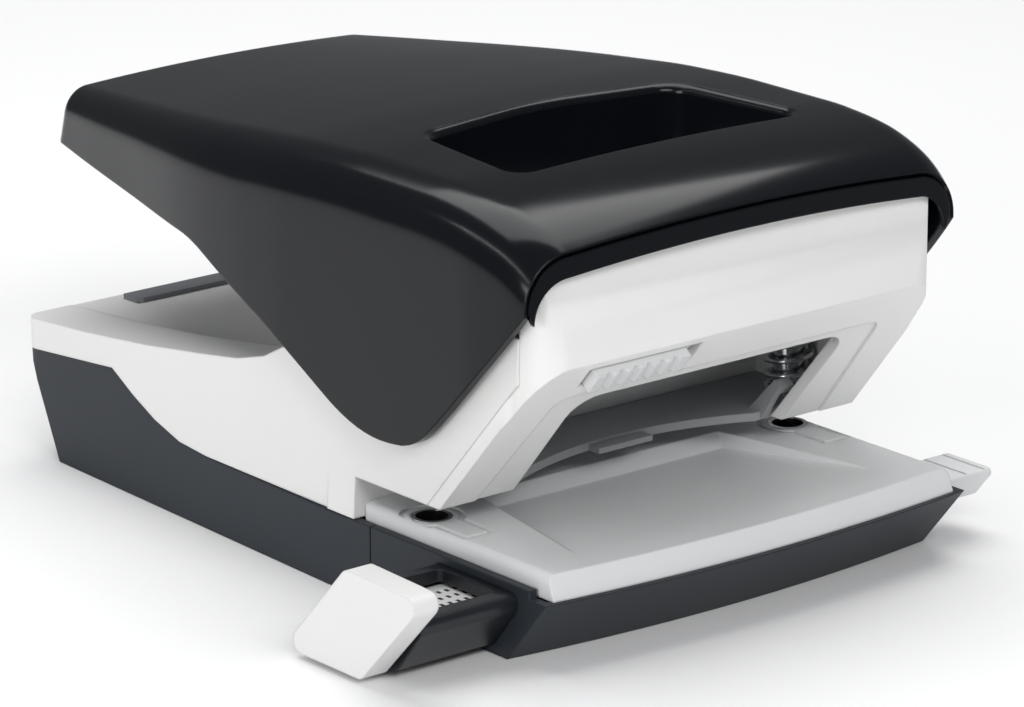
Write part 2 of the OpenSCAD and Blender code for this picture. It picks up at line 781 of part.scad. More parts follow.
module punch_frame() {
    hw = body_hw - wall - 1.6;
    y0 = paper_depth + wall + seat_gap;
    y1 = y0 + sheet;
    eye = 3.1;
    color(steel)
    difference() {
        union() {
            // Foot, back and upper arm of one bent sheet
            block([-hw, 4.6, up(die_z + seat_gap)], [hw, y1, up(die_z + sheet)]);
            block([-hw, y0, up(die_z + seat_gap)], [hw, y1, up(arm_z + sheet)]);
            block([-hw, -7, up(arm_z)], [hw, y1, up(arm_z + sheet)]);
            // Ears that carry the axle
            both() side_plate([[-7, up(arm_z)], [y1, up(arm_z)], [y1, up(arm_z + 6)],
                pivot + eye * [cos(60), sin(60)], pivot + eye * [cos(230), sin(230)]],
                ear_x, ear_x + sheet);
            both() rod_x(eye, ear_x, ear_x + sheet, pivot[0], pivot[1]);
        }
        both() rod_z(pin_r + pin_gap, up(arm_z - cut), up(arm_z + sheet + cut), pin_x, 0);
        rod_x(axle_d / 2 + seat_gap, -big / 4, big / 4, pivot[0], pivot[1]);
        for (x = rivet_x) rod_z(rivet_r + seat_gap, up(die_z - cut), up(die_z + sheet + cut),
            x, rivet_y);
        for (x = [-20, 20]) translate([x, y0 - cut, up(14)]) rotate([-90, 0, 0])
            cylinder(r = 1.3, h = sheet + 2 * cut);
    }
}

module body_screws() {
    y0 = paper_depth + wall + seat_gap;
    color(steel)
    for (x = [-20, 20]) translate([x, 0, up(14)]) {
        translate([0, paper_depth + 0.4, 0]) rotate([-90, 0, 0]) cylinder(r = 1.25, h = 8);
        translate([0, y0 + sheet, 0]) rotate([-90, 0, 0])
        difference() {
            cylinder(r = 2.6, h = 1.7);
            translate([0, 0, 0.9]) linear_extrude(2) square([3.2, 0.7], center = true);
            translate([0, 0, 0.9]) linear_extrude(2) square([0.7, 3.2], center = true);
        }
    }
}

hook_y0 = 3.4;
hook_y1 = 5.2;
hook_z0 = 3.4;
hook_z1 = 5.6;

module stripper_plate() {
    hw = body_hw - wall - 0.7;
    color(mid_grey)
    difference() {
        union() {
            // Plate with a front edge that curves back in the middle
            difference() {
                block([-hw, -6, up(strip_z)], [hw, paper_depth - 0.3, up(strip_z + strip_t)]);
                translate([0, -62, 0]) cylinder(r = 62, h = big, $fn = 360);
            }
            // Upturned arms with hooks that reach into the cover's legs
            both() {
                on_face() block([28, hook_y0, hook_z0], [31.4, hook_y1, hook_z1]);
                side_plate([on_slope(hook_y1, hook_z1), on_slope(hook_y0, hook_z1),
                    on_slope(hook_y0, hook_z0), [-6, up(strip_z)], [-3, up(strip_z)],
                    [-3, up(strip_z + strip_t)]], 28, 29.6);
            }
            // Guiding tongue in the middle
            block([-6, -3, up(strip_z)], [6, 6, up(strip_z + 1)]);
        }
        both() rod_z(pin_r + pin_gap, up(strip_z - cut), up(strip_z + 4), pin_x, 0);
    }
}

module pivot_axle() {
    end = lever_x + lever_t + 1.5;
    color(steel)
    difference() {
        rod_x(axle_d / 2, -end, end, pivot[0], pivot[1]);
        both() difference() {
            rod_x(axle_d, end - 1.1, end - 0.6, pivot[0], pivot[1]);
            rod_x(axle_d / 2 - 0.5, end - 1.2, end - 0.5, pivot[0], pivot[1]);
        }
    }
}

module axle_clips() {
    end = lever_x + lever_t + 1.5;
    color(steel)
    both() difference() {
        rod_x(axle_d / 2 + 1.2, end - 1.05, end - 0.65, pivot[0], pivot[1]);
        rod_x(axle_d / 2 - 0.48, end - 2, end, pivot[0], pivot[1]);
        block([0, pivot[0] - 1.2, pivot[1] - 8], [big, pivot[0] + 1.2, pivot[1] - 0.8]);
    }
}

module punch_pin(side) {
    color(steel)
    difference() {
        union() {
            rod_z(pin_r, up(pin_tip), up(pin_top), side * pin_x, 0);
            rod_z(pin_head_r, up(pin_top - pin_head_t), up(pin_top), side * pin_x, 0);
        }
        // Concave cutting edge
        translate([side * pin_x, 0, up(pin_tip)]) rotate([90, 0, 0])
            cylinder(r = 1.9, h = 2 * pin_r + 2 * cut, center = true);
    }
}

module punch_pin_left() {
    punch_pin(-1);
}

module punch_pin_right() {
    punch_pin(1);
}

module pin_washer(side) {
    color(steel)
    difference() {
        rod_z(spring_r, up(washer_z), up(washer_z + washer_t), side * pin_x, 0);
        rod_z(pin_r + 0.02, up(washer_z - cut), up(washer_z + washer_t + cut), side * pin_x, 0);
    }
}

module pin_washer_left() {
    pin_washer(-1);
}

module pin_washer_right() {
    pin_washer(1);
}

// Coil spring swept along a helix, standing on the stripper plate
module pin_spring(side) {
    sides = 6;
    steps = 14;
    rings = spring_turns * steps;
    z0 = strip_z + strip_t + spring_wire / 2 + 0.05;
    z1 = washer_z - spring_wire / 2 - 0.05;
    coil_r = spring_r - spring_wire / 2;
    pts = [for (i = [0:rings])
        let (a = i * 360 / steps, z = up(z0 + (z1 - z0) * i / rings))
        for (j = [0:sides - 1])
            let (b = j * 360 / sides, r = coil_r + spring_wire / 2 * cos(b))
            [side * pin_x + r * cos(a), r * sin(a), z + spring_wire / 2 * sin(b)]];
    skin = [for (i = [0:rings - 1], j = [0:sides - 1])
        let (k = (j + 1) % sides)
        [i * sides + k, (i + 1) * sides + k, (i + 1) * sides + j, i * sides + j]];
    color(steel)
    polyhedron(pts, concat(skin, [[for (j = [sides - 1:-1:0]) j]],
        [[for (j = [0:sides - 1]) rings * sides + j]]));
}

module pin_spring_left() {
    pin_spring(-1);
}

module pin_spring_right() {
    pin_spring(1);
}

// ---------------------------------------------------------------- handle

// Half width, height of the crown and drop from the crown to the shoulder, along Y
width_graph = [[-37, -2.2], [-33, -1.3], [-27, -0.6], [-18, 0], [aft(28), 0], [aft(40), -0.4],
    [aft(52), -1.4], [aft(62), -2.8], [aft(75), -5.4], [aft(88), -8.3], [aft(100), -11],
    [aft(112), -13.8], [aft(122), -16]];
crown_graph = [[-37, -8.2], [-35, -6.6], [-32, -4.6], [-29, -3.2], [-25, -2], [-20, -1],
    [-14, -0.35], [-6, 0], [12, 0], [aft(28), -0.6], [aft(44), -1.9], [aft(60), -3.5],
    [aft(76), -5.2], [aft(92), -7], [aft(108), -8.8], [aft(120), -10.2]];
drop_graph = [[-36, 1.9], [-30, 1.7], [-20, 1.4], [-6, 1.1], [aft(40), 1.1], [aft(110), 0.8]];

shoulder_graph = [[aft(44), 9], [aft(76), 7], [rear_y, 5.2]];
back_r = 3.6;
handle_rear = rear_y + 2;
back_lean = 0.3;

// How far the rounded back pulls in the ring at y
function back_pull(y) = y <= handle_rear - back_r ? 0 :
    back_r - sqrt(max(0, back_r * back_r - pow(y - handle_rear + back_r, 2)));

// One cross section of the handle at y, shrunk by d
function handle_ring(y, d) =
    let (
        pull = back_pull(y + d),
        w = cheek_hw + graph(width_graph, y) - pull - d,
        crown = up(handle_top + graph(crown_graph, y)),
        top = crown - pull - d,
        drop = graph(drop_graph, y),
        r = graph(shoulder_graph, y) - d,
        foot = up(slot_h),
        flat = w - r,
        lean = back_lean * max(0, min(1, (y - aft(80)) / (handle_rear - aft(80)))),
        left = concat([[-w, foot]],
            [for (i = [0:6]) [-flat - r * cos(i * 15), top - drop - r + r * sin(i * 15)]],
            [for (i = [1:5]) let (x = -flat + flat * i / 5)
                [x, top - drop * pow(x / flat, 2)]]),
        right = [for (i = [len(left) - 2:-1:0]) [-left[i][0], left[i][1]]]
    )
    [for (p = concat(left, right)) [p[0], y + lean * max(0, crown - p[1] - 6), p[1]]];

module handle_loft(d, y0, y1) {
    stations = concat([y0], [for (y = [-36:-31]) if (y > y0) y],
        [-29.5, -28, -26, -23.5, -20, -16, -10, -4, 4, 12, 22],
        [for (y = [30:8:94]) aft(y)],
        [for (a = [0:15:75]) y1 - back_r + back_r * sin(a)], [y1]);
    rings = [for (y = stations) handle_ring(y, d)];
    n = len(rings[0]);
    last = len(rings) - 1;
    skin = [for (i = [0:last - 1], j = [0:n - 1])
        let (k = (j + 1) % n)
        each [[i * n + j, (i + 1) * n + j, (i + 1) * n + k],
        [i * n + j, (i + 1) * n + k, i * n + k]]];
    polyhedron([for (r = rings) each r], concat(skin, [[for (j = [0:n - 1]) j]],
        [[for (j = [n - 1:-1:0]) last * n + j]]));
}

// Side outline of the handle: the cheeks' lower edge, the rear skirt and the front lip
function cheek_outline() = rounded([
    [-33.6, up(47), 0], [-33.8, up(42.6), 3], [-6.4, up(15), 9], [4.5, up(14), 9],
    [aft(13), up(16), 10], [aft(34), up(27), 30], [aft(58), up(36.6), 30],
    [aft(83), up(38.4), 20], [aft(130), up(41.5), 0],
    [aft(130), up(90), 0], [-60, up(90), 0], [-60, up(46.4), 0], [-36.5, up(46.6), 0]], 6);

// Window in the top of the handle, grown by d
function window_outline(d) = rounded([
    [-31 - d, -11 - d, 3 + d], [31 + d, -11 - d, 3 + d], [27.6 + d, 17 + d, 5 + d],
    [0, 20.4 + d, 60], [-27.6 - d, 17 + d, 5 + d]]);

// Front outline of the handle at its lip, shrunk by d
function lip_outline(d) = [for (p = handle_ring(lip_y + 0.8, d)) [p[0], p[2]]];

lip_y = -34.4;
lip_bulge = 1.6;
lip_h = 2.3;
lip_t = 0.9;

module handle_shell() {
    color(black)
    difference() {
        union() {
            intersection() {
                difference() {
                    handle_loft(0, -37, handle_rear);
                    handle_loft(shell_wall, -39, handle_rear - shell_wall);
                }
                side_plate(cheek_outline(), -big, big);
                behind_front(lip_y, up(50), 0, lip_bulge, cheek_hw);
            }
            // Lip that hangs lower along the front edge
            difference() {
                intersection() {
                    difference() {
                        front_plate(lip_outline(0.8), -40, -26);
                        translate([0, 0, -lip_h])
                            front_plate(lip_outline(shell_wall), -41, -25);
                    }
                    side_plate(cheek_outline(), -big, big);
                    behind_front(lip_y, up(50), 0, lip_bulge, cheek_hw);
                }
                behind_front(lip_y + lip_t, up(50), 0, lip_bulge, cheek_hw);
            }
            // Rim of the window and bosses of the lever, under the top
            intersection() {
                handle_loft(0.4, -36, handle_rear - 1);
                union() {
                    difference() {
                        plan_plate(window_outline(1.4), up(rim_bottom), up(70));
                        plan_plate(window_outline(0), up(40), up(80));
                    }
                    for (x = boss_x) rod_z(3.2, up(lever_top), up(70), x, boss_y);
                }
            }
        }
        plan_plate(window_outline(0), up(40), up(80));
        for (x = boss_x) rod_z(1.15, up(lever_top - cut), up(lever_top + 4), x, boss_y);
    }
}

boss_x = [-33, 33];
boss_y = -17;
lever_top = 52.2;
rim_bottom = 48;

module handle_lever() {
    plate = lever_top - sheet;
    color(steel)
    difference() {
        union() {
            both() side_plate(rounded([
                [pivot[0] - lever_eye, pivot[1], 0], [pivot[0] - lever_eye, pivot[1] + 4, 2],
                [-21, up(lever_top), 0], [-11, up(lever_top), 2], [-1, up(40), 4],
                [nose_r + 0.4, up(nose_z + 1), 0], [nose_r * 0.7, up(nose_z - nose_r * 0.7), 0],
                [-nose_r * 0.7, up(nose_z - nose_r * 0.7), 0],
                [pivot[0] + 1, pivot[1] - lever_eye, 0]], 4), lever_x, lever_x + lever_t);
            both() rod_x(nose_r, lever_x - 0.6, lever_x + lever_t + 1, 0, up(nose_z));
            both() rod_x(lever_eye, lever_x, lever_x + lever_t, pivot[0], pivot[1]);
            block([-lever_x - 0.5, -21, up(plate)], [lever_x + 0.5, -14, up(lever_top)]);
        }
        rod_x(axle_d / 2 + axle_gap, -big / 4, big / 4, pivot[0], pivot[1]);
        for (x = boss_x) rod_z(1.35, up(plate - cut), up(lever_top + cut), x, boss_y);
        // Lightening slot in the cross plate
        block([-24, -19, up(plate - cut)], [24, -16, up(lever_top + cut)]);
    }
}

module lever_screws() {
    color(steel)
    for (x = boss_x) translate([x, boss_y, 0]) {
        translate([0, 0, up(lever_top - sheet)]) cylinder(r = 1.1, h = sheet + 3.6);
        translate([0, 0, up(lever_top - sheet - 1.7)])
        difference() {
            cylinder(r = 2.6, h = 1.7);
            translate([0, 0, -cut]) linear_extrude(1.8) square([3.2, 0.7], center = true);
            translate([0, 0, -cut]) linear_extrude(1.8) square([0.7, 3.2], center = true);
        }
    }
}

table_top();
die_plate();
die_bush_left();
die_bush_right();
front_base();
guide_sleeve();
guide_detent_spring();
body_shell();
front_cover();
punch_frame();
stripper_plate();
pivot_axle();
axle_clips();
bumper_pad();
frame_rivets();
cover_screws();
body_screws();
pin_spring_left();
pin_spring_right();
handle_shell();
handle_lever();
lever_screws();
punch_pin_left();
pin_washer_left();
punch_pin_right();
pin_washer_right();
lock_slider();
lock_bolt();
guide_bar();
guide_stop();
format_scale();
chip_tray();
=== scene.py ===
import json
import math

import bmesh
import bpy
from mathutils import Matrix, Vector


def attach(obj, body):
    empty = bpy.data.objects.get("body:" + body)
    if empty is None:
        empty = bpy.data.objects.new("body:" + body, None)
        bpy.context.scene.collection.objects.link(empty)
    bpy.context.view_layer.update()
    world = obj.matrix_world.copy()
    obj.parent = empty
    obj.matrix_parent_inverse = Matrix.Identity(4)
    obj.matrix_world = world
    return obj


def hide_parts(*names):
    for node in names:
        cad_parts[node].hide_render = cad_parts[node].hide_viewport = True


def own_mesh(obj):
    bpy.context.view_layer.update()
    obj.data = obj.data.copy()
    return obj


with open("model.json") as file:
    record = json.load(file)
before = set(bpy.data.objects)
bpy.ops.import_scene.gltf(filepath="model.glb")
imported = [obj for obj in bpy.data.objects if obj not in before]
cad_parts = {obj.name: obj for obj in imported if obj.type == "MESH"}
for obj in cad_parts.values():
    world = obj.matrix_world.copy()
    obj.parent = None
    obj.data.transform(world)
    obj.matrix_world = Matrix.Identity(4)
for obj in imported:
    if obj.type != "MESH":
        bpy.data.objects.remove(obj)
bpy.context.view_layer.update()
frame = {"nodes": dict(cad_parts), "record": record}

MM = 0.001
TABLE = 16.0
REAR = 113.0
PIN_X = 40.0


def up(h):
    """Height over the desk of a point h millimetres over the table."""
    return TABLE + h


def wave(x, points):
    """Smooth curve through [x, value] points, flat beyond both ends."""
    if x <= points[0][0]:
        return points[0][1]
    if x >= points[-1][0]:
        return points[-1][1]
    slopes = []
    for a, b in zip(points, points[1:]):
        slopes.append((b[1] - a[1]) / (b[0] - a[0]))
    tangents = [slopes[0]]
    for a, b in zip(slopes, slopes[1:]):
        tangents.append(0.0 if a * b <= 0 else 2 * a * b / (a + b))
    tangents.append(slopes[-1])
    for i, (a, b) in enumerate(zip(points, points[1:])):
        if x <= b[0]:
            w = b[0] - a[0]
            t = (x - a[0]) / w
            return (
                (2 * t ** 3 - 3 * t * t + 1) * a[1]
                + (t ** 3 - 2 * t * t + t) * w * tangents[i]
                + (3 * t * t - 2 * t ** 3) * b[1]
                + (t ** 3 - t * t) * w * tangents[i + 1]
            )
    return points[-1][1]


# ---------------------------------------------------------------- materials

MATT_SPECULAR = 0.06


def principled(name):
    mat = bpy.data.materials.new(name)
    mat.use_nodes = True
    tree = mat.node_tree
    bsdf = tree.nodes["Principled BSDF"]
    return mat, tree, bsdf


def node(tree, kind, **inputs):
    n = tree.nodes.new(kind)
    for key, value in inputs.items():
        n.inputs[key].default_value = value
    return n


def moulded(
    name, color, rough, grain=900.0, depth=0.02, edge=0.35, specular=0.5, mottle=0.03, matt=False
):
    """Moulded plastic: a fine grain, slight unevenness of tone and gloss, softened edges.

    With matt, faces whose "matt" value is 1 lose their shine.
    """
    mat, tree, bsdf = principled(name)
    link = tree.links.new
    place = tree.nodes.new("ShaderNodeTexCoord")
    cloud = node(tree, "ShaderNodeTexNoise", Scale=38.0, Detail=3.0)
    link(place.outputs["Object"], cloud.inputs["Vector"])
    tone = tree.nodes.new("ShaderNodeMapRange")
    tone.inputs["To Min"].default_value = 1.0 - mottle
    tone.inputs["To Max"].default_value = 1.0 + mottle
    link(cloud.outputs["Fac"], tone.inputs["Value"])
    tint = tree.nodes.new("ShaderNodeVectorMath")
    tint.operation = "SCALE"
    tint.inputs[0].default_value = color
    link(tone.outputs["Result"], tint.inputs["Scale"])
    link(tint.outputs["Vector"], bsdf.inputs["Base Color"])
    gloss = tree.nodes.new("ShaderNodeMapRange")
    gloss.inputs["To Min"].default_value = rough * 0.9
    gloss.inputs["To Max"].default_value = rough * 1.12
    link(cloud.outputs["Fac"], gloss.inputs["Value"])
    link(gloss.outputs["Result"], bsdf.inputs["Roughness"])
    fine = node(tree, "ShaderNodeTexNoise", Scale=grain, Detail=4.0)
    link(place.outputs["Object"], fine.inputs["Vector"])
    bevel = tree.nodes.new("ShaderNodeBevel")
    bevel.samples = 6
    bevel.inputs["Radius"].default_value = edge * MM
    bump = node(tree, "ShaderNodeBump", Strength=depth, Distance=0.1 * MM)
    link(fine.outputs["Fac"], bump.inputs["Height"])
    link(bevel.outputs["Normal"], bump.inputs["Normal"])
    link(bump.outputs["Normal"], bsdf.inputs["Normal"])
    bsdf.inputs["Specular IOR Level"].default_value = specular
    if matt:
        mask = tree.nodes.new("ShaderNodeAttribute")
        mask.attribute_name = "matt"
        level = tree.nodes.new("ShaderNodeMapRange")
        level.inputs["To Min"].default_value = specular
        level.inputs["To Max"].default_value = MATT_SPECULAR
        link(mask.outputs["Fac"], level.inputs["Value"])
        link(level.outputs["Result"], bsdf.inputs["Specular IOR Level"])
    return mat


def metal(name, color, rough, brushed=0.0, edge=0.15):
    """Bare or plated steel, with a faint drawn texture."""
    mat, tree, bsdf = principled(name)
    link = tree.links.new
    place = tree.nodes.new("ShaderNodeTexCoord")
    stretch = tree.nodes.new("ShaderNodeMapping")
    stretch.inputs["Scale"].default_value = (60.0, 900.0, 900.0)
    link(place.outputs["Object"], stretch.inputs["Vector"])
    lines = node(tree, "ShaderNodeTexNoise", Scale=1.0, Detail=3.0)
    link(stretch.outputs["Vector"], lines.inputs["Vector"])
    gloss = tree.nodes.new("ShaderNodeMapRange")
    gloss.inputs["To Min"].default_value = rough * (1 - brushed)
    gloss.inputs["To Max"].default_value = rough * (1 + brushed)
    link(lines.outputs["Fac"], gloss.inputs["Value"])
    link(gloss.outputs["Result"], bsdf.inputs["Roughness"])
    bevel = tree.nodes.new("ShaderNodeBevel")
    bevel.samples = 4
    bevel.inputs["Radius"].default_value = edge * MM
    link(bevel.outputs["Normal"], bsdf.inputs["Normal"])
    bsdf.inputs["Base Color"].default_value = (*color, 1.0)
    bsdf.inputs["Metallic"].default_value = 1.0
    return mat


def printed(name, paper, ink, pitch, share):
    """Printed strip: short dark marks at a regular pitch along X, in rows along Y."""
    row_pitch = 2.6
    row_share = 0.45
    mat, tree, bsdf = principled(name)
    link = tree.links.new
    place = tree.nodes.new("ShaderNodeTexCoord")
    part = tree.nodes.new("ShaderNodeSeparateXYZ")
    link(place.outputs["Object"], part.inputs["Vector"])

    def math_node(kind, a, b):
        m = tree.nodes.new("ShaderNodeMath")
        m.operation = kind
        for i, v in enumerate((a, b)):
            if isinstance(v, float):
                m.inputs[i].default_value = v
            elif v is not None:
                link(v, m.inputs[i])
        return m.outputs[0]

    along = math_node("MULTIPLY", part.outputs["X"], 1.0 / (pitch * MM))
    tick = math_node("LESS_THAN", math_node("FRACT", along, None), share)
    across = math_node("MULTIPLY", part.outputs["Y"], 1.0 / (row_pitch * MM))
    row = math_node("LESS_THAN", math_node("FRACT", across, None), row_share)
    mark = math_node("MULTIPLY", tick, row)
    mix = tree.nodes.new("ShaderNodeMix")
    mix.data_type = "RGBA"
    mix.inputs["A"].default_value = (*paper, 1.0)
    mix.inputs["B"].default_value = (*ink, 1.0)
    link(mark, mix.inputs["Factor"])
    link(mix.outputs["Result"], bsdf.inputs["Base Color"])
    bsdf.inputs["Roughness"].default_value = 0.5
    return mat


LOOKS = {
    "white_plastic": moulded(
        "white_moulding", (0.80, 0.80, 0.79), 0.36, depth=0.03, edge=0.5
    ),
    "grey_plastic": moulded("grey_moulding", (0.70, 0.705, 0.71), 0.38, depth=0.04, edge=0.5),
    "black_plastic": moulded(
        "black_moulding", (0.0040, 0.0050, 0.0068), 0.16,
        depth=0.004, edge=0.5, specular=0.26, mottle=0.02, matt=True
    ),
    "charcoal_plastic": moulded(
        "charcoal_moulding", (0.018, 0.023, 0.030), 0.5,
        grain=1500.0, depth=0.22, edge=0.5, specular=0.35
    ),
    "dark_plastic": moulded(
        "dark_moulding", (0.012, 0.014, 0.018), 0.32, depth=0.05, edge=0.4, specular=0.4
    ),
    "plated_strip": moulded("strip_grey", (0.30, 0.31, 0.32), 0.42, depth=0.05, edge=0.25),
    "rubber_grey": moulded(
        "pad_rubber", (0.17, 0.175, 0.19), 0.62, grain=1300.0, depth=0.2, edge=0.5
    ),
    "steel": metal("sheet_steel", (0.60, 0.61, 0.63), 0.40, brushed=0.2),
    "bright_steel": metal(
        "bright_steel", (0.66, 0.67, 0.69), 0.16, brushed=0.15, edge=0.1
    ),
    "printed_scale": printed(
        "printed_scale", (0.80, 0.80, 0.79), (0.02, 0.02, 0.025), 1.7, 0.42
    ),
}

BODY_OF = {}
for body, names in frame["record"]["behaviour"]["bodies"].items():
    for name in names:
        BODY_OF[name] = body
SLOT_OF = {}
for part in frame["record"]["subparts"]:
    SLOT_OF[part["node"]] = part["material_slot"]


def new_object(name, mesh):
    obj = bpy.data.objects.new(name, mesh)
    bpy.context.scene.collection.objects.link(obj)
    return obj


def smooth(mesh, angle=32.0):
    """Smooth shading, with edges sharper than angle left sharp."""
    mesh.polygons.foreach_set("use_smooth", [True] * len(mesh.polygons))
    mesh.set_sharp_from_angle(angle=math.radians(angle))


def finish_piece(obj, cad_nodes):
    """Gives a piece the material of its first CAD node's slot, hangs it on that node's body, and
    hides the CAD nodes that it stands for.
    """
    first = cad_nodes[0]
    obj.data.materials.clear()
    obj.data.materials.append(LOOKS[SLOT_OF[first]])
    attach(obj, BODY_OF[first])
    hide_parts(*cad_nodes)
    return obj


def skin_of(name, angle=32.0):
    """A copy of a CAD node with merged points and smooth curved faces."""
    source = frame["nodes"][name].data
    bm = bmesh.new()
    bm.from_mesh(source)
    bmesh.ops.remove_doubles(bm, verts=bm.verts, dist=0.002 * MM)
    bmesh.ops.dissolve_degenerate(bm, edges=bm.edges, dist=0.001 * MM)
    mesh = bpy.data.meshes.new(name)
    bm.to_mesh(mesh)
    bm.free()
    for attribute in list(mesh.attributes):
        if attribute.name in ("custom_normal", "sharp_face", "sharp_edge"):
            mesh.attributes.remove(attribute)
    smooth(mesh, angle)
    return finish_piece(new_object(name + "_skin", mesh), [name])


def apply_modifiers(obj):
    """Turn the modifiers of an object into plain mesh."""
    depsgraph = bpy.context.evaluated_depsgraph_get()
    mesh = bpy.data.meshes.new_from_object(obj.evaluated_get(depsgraph))
    obj.modifiers.clear()
    obj.data = mesh


# ---------------------------------------------------------------- handle

# Half width over the cheeks, wall, and the rounded back that leans from LEAN_Y on
CHEEK = 48.8
SHELL = 2.0
BACK_R = 3.6
BACK_LEAN = 0.3
LEAN_Y = 80
LEAN_FREE = 6
HANDLE_REAR = REAR + 2.0
# Front edge: its place, its bow, which starts at BOW_Y, and the lip that hangs from it
LIP_Y = -34.4
LIP_BULGE = 1.6
BOW_Y = -14
LIP_H = 2.3
LIP_T = 0.9
LIP_INSET = 0.8
# Window: radius of its rolled edge, and the foot of the wall that hangs from it
ROLL = 1.5
RIM_BOTTOM = 48.0
# Graphs along Y: shoulder radius, added half width, crown height, drop from crown to shoulder
SHOULDER = [(44, 9), (76, 7), (113, 5.2)]
WIDTH = [(-37, -2.2), (-33, -1.3), (-27, -0.6), (-18, 0), (28, 0), (40, -0.4), (52, -1.4),
         (62, -2.8), (75, -5.4), (88, -8.3), (100, -11), (112, -13.8), (122, -16)]
CROWN = [(-37, -8.2), (-35, -6.6), (-32, -4.6), (-29, -3.2), (-25, -2), (-20, -1), (-14, -0.35),
         (-6, 0), (12, 0), (28, -0.6), (44, -1.9), (60, -3.5), (76, -5.2), (92, -7), (108, -8.8),
         (120, -10.2)]
DROP = [(-36, 1.9), (-30, 1.7), (-20, 1.4), (-6, 1.1), (40, 1.1), (110, 0.8)]
# Lower edge of the cheeks along Y
EDGE = [(-33.8, 42.6), (-6.4, 15), (4.5, 14), (13, 16), (34, 27), (58, 36.6), (83, 38.4),
        (130, 41.5)]
HANDLE_TOP = 60.7


def linear(x, points):
    """Straight-line graph through [x, value] points, level beyond its end."""
    for a, b in zip(points, points[1:]):
        if x <= b[0]:
            return a[1] + (b[1] - a[1]) * (x - a[0]) / (b[0] - a[0])
    return points[-1][1]


def cheek_edge(y):
    """Height of the cheek's lower edge, its corners rounded by averaging."""
    reach = 4.0
    steps = 8
    samples = [linear(y + reach * i / steps, EDGE) for i in range(-steps, steps + 1)]
    return sum(samples) / (2 * steps + 1)


def back_pull(y):
    """How far the rounded back pulls in the ring at y."""
    start = HANDLE_REAR - BACK_R
    return 0.0 if y <= start else BACK_R - math.sqrt(max(0.0, BACK_R ** 2 - (y - start) ** 2))


def handle_ring(y, columns, inset=0.0):
    """One cross section of the outer skin, from the left cheek's lower edge to the right one's."""
    pull = back_pull(y)
    w = CHEEK + wave(y, WIDTH) - pull - inset
    crown = up(HANDLE_TOP + wave(y, CROWN))
    top = crown - pull - inset
    drop = wave(y, DROP)
    r = wave(y, SHOULDER) - inset
    flat = w - r
    lean = BACK_LEAN * max(0.0, min(1.0, (y - LEAN_Y) / (HANDLE_REAR - LEAN_Y)))
    bow = LIP_BULGE * max(0.0, min(1.0, (BOW_Y - y) / (BOW_Y - LIP_Y))) ** 2
    shoulder_z = top - drop - r
    foot = up(cheek_edge(y))
    half = []
    for i in range(columns["cheek"]):
        half.append((w, foot + (shoulder_z - foot) * i / columns["cheek"]))
    for i in range(columns["arc"]):
        a = math.radians(90.0 * i / columns["arc"])
        half.append((flat + r * math.cos(a), shoulder_z + r * math.sin(a)))
    for i in range(columns["top"] + 1):
        x = flat * (1 - i / columns["top"])
        half.append((x, top - drop * (x / flat) ** 2))
    ring = [(-x, z) for x, z in half] + [(x, z) for x, z in reversed(half[:-1])]
    return [
        Vector((x, y + bow * (x / CHEEK) ** 2 + lean * max(0.0, crown - z - LEAN_FREE), z)) * MM
        for x, z in ring
    ]


def surface_height(x, y):
    """Height of the handle's top at a point of its flat part."""
    w = CHEEK + wave(y, WIDTH)
    return up(HANDLE_TOP + wave(y, CROWN)) - wave(y, DROP) * (x / (w - wave(y, SHOULDER))) ** 2


def rounded(corners, steps=8):
    """Outline through corners (x, y, r), each rounded with its own radius."""
    out = []
    count = len(corners)
    for i, (bx, by, r) in enumerate(corners):
        a = Vector(corners[i - 1][:2])
        b = Vector((bx, by))
        c = Vector(corners[(i + 1) % count][:2])
        if r <= 0:
            out.append(b)
            continue
        u = (a - b).normalized()
        v = (c - b).normalized()
        half = u.angle(v) / 2
        mid = b + (u + v).normalized() * (r / math.sin(half))
        p0 = b + u * (r / math.tan(half)) - mid
        p1 = b + v * (r / math.tan(half)) - mid
        turn = p0.angle_signed(p1)
        for k in range(steps + 1):
            a0 = -turn * k / steps
            out.append(mid + Vector((
                p0.x * math.cos(a0) - p0.y * math.sin(a0),
                p0.x * math.sin(a0) + p0.y * math.cos(a0),
            )))
    return out


def window_outline(d):
    """Outline of the window in the handle's top, grown by d."""
    return rounded([
        (-31 - d, -11 - d, 3 + d), (31 + d, -11 - d, 3 + d), (27.6 + d, 17 + d, 5 + d),
        (0, 20.4 + d, 60), (-27.6 - d, 17 + d, 5 + d),
    ])


def prism(name, outline, z0, z1):
    """Upright prism on an outline, from z0 to z1."""
    bm = bmesh.new()
    low = [bm.verts.new((p.x * MM, p.y * MM, z0 * MM)) for p in outline]
    high = [bm.verts.new((p.x * MM, p.y * MM, z1 * MM)) for p in outline]
    bm.faces.new(list(reversed(low)))
    bm.faces.new(high)
    for i in range(len(low)):
        j = (i + 1) % len(low)
        bm.faces.new((low[i], low[j], high[j], high[i]))
    bmesh.ops.recalc_face_normals(bm, faces=bm.faces)
    mesh = bpy.data.meshes.new(name)
    bm.to_mesh(mesh)
    bm.free()
    return new_object(name, mesh)


